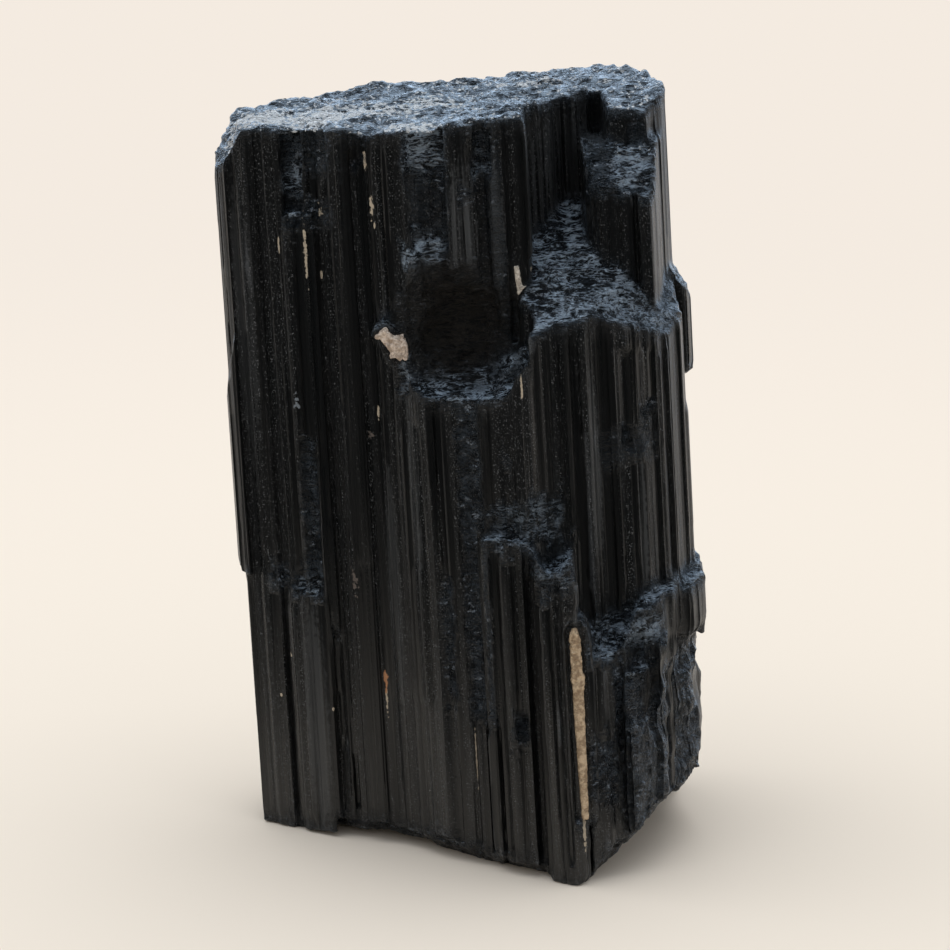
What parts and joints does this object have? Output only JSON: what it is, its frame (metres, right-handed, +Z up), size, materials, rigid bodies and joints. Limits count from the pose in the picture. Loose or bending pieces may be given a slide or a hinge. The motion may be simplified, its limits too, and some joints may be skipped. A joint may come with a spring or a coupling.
{
  "type": "tourmaline crystal",
  "caption": "Upright black tourmaline crystal: a bundle of fluted parallel columns, broken across at both ends and stepped on the right, with pale feldspar fillings. A display specimen.",
  "frame": {"origin": "on the ground, at the middle of the crystal's outline", "axes": "+Z up, -Y towards the side with the scooped hollow and the prow, +X towards the stepped right side; the crystal's own axis leans 3.2 degrees from +Z towards -X"},
  "size_m": [0.0442, 0.0364, 0.0678],
  "materials": {
    "tourmaline_black": "near-black mineral, fluted lengthwise with a soft silky sheen, rough bluish-grey on broken faces",
    "feldspar_tan": "matte, grainy, sandy tan",
    "feldspar_cream": "matte, crumbly, pinkish cream",
    "feldspar_pale": "matte, pale cream"
  },
  "bodies": {
    "root": {"crystal": "tourmaline_black", "feldspar_seam": "feldspar_tan", "feldspar_patch": "feldspar_cream", "feldspar_strip": "feldspar_pale"}
  },
  "joints": []
}
